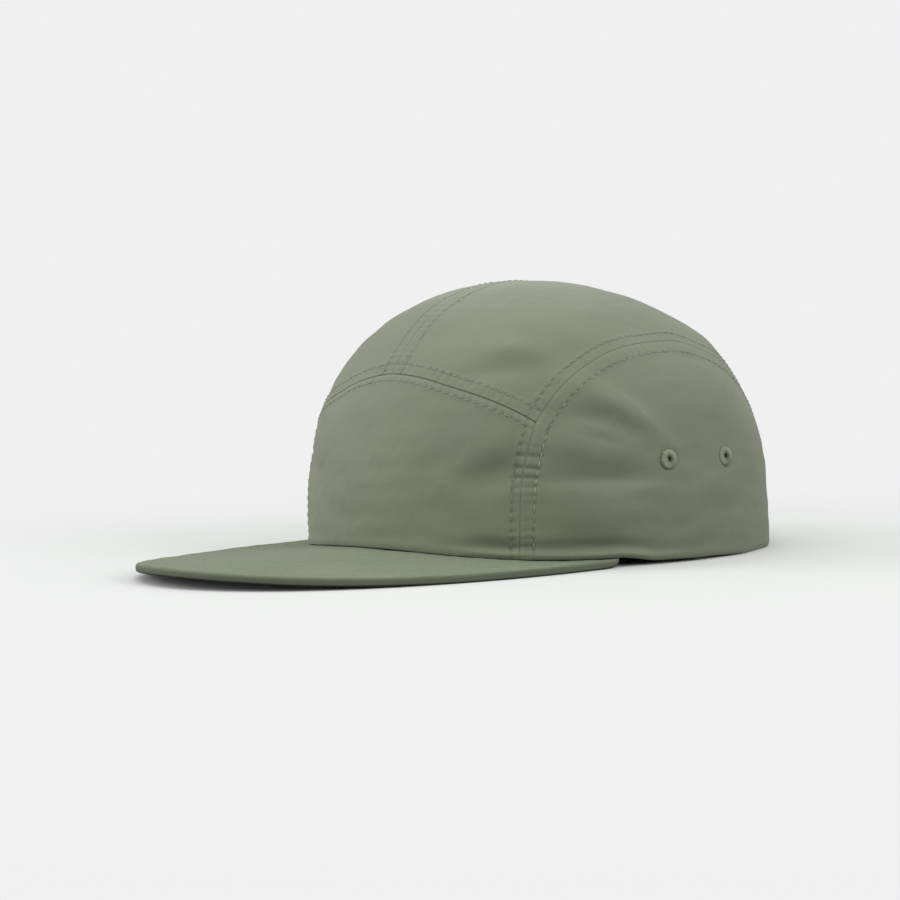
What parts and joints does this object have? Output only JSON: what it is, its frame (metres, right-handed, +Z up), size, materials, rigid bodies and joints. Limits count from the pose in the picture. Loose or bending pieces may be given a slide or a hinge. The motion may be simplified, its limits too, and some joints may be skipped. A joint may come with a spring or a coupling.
{
  "type": "five panel cap",
  "caption": "Soft low crown of sewn panels over a flat, slightly bowed peak, with sewn side eyelets and a strap across the back opening.",
  "frame": {"origin": "middle of the cap's box, on the floor that it rests on", "axes": "+Z up, the peak points to -Y, the wearer's left is +X"},
  "size_m": [0.1714, 0.2766, 0.1065],
  "materials": {
    "crown_cloth": "olive green plain-weave nylon, softly creased, faint sheen",
    "peak_cloth": "the same cloth drawn tight over a stiff board, with rows of topstitching",
    "thread": "matte olive thread",
    "band_cloth": "matte olive cotton",
    "webbing": "ribbed olive webbing",
    "buckle": "plain dark satin"
  },
  "bodies": {
    "root": {"front_panel": "crown_cloth", "top_panel_left": "crown_cloth", "top_panel_right": "crown_cloth", "side_panel_left": "crown_cloth", "side_panel_right": "crown_cloth", "peak": "peak_cloth", "eyelet_left_front": "thread", "eyelet_left_back": "thread", "eyelet_right_front": "thread", "eyelet_right_back": "thread", "sweatband": "band_cloth", "back_strap": "webbing", "strap_buckle": "buckle"}
  },
  "joints": []
}
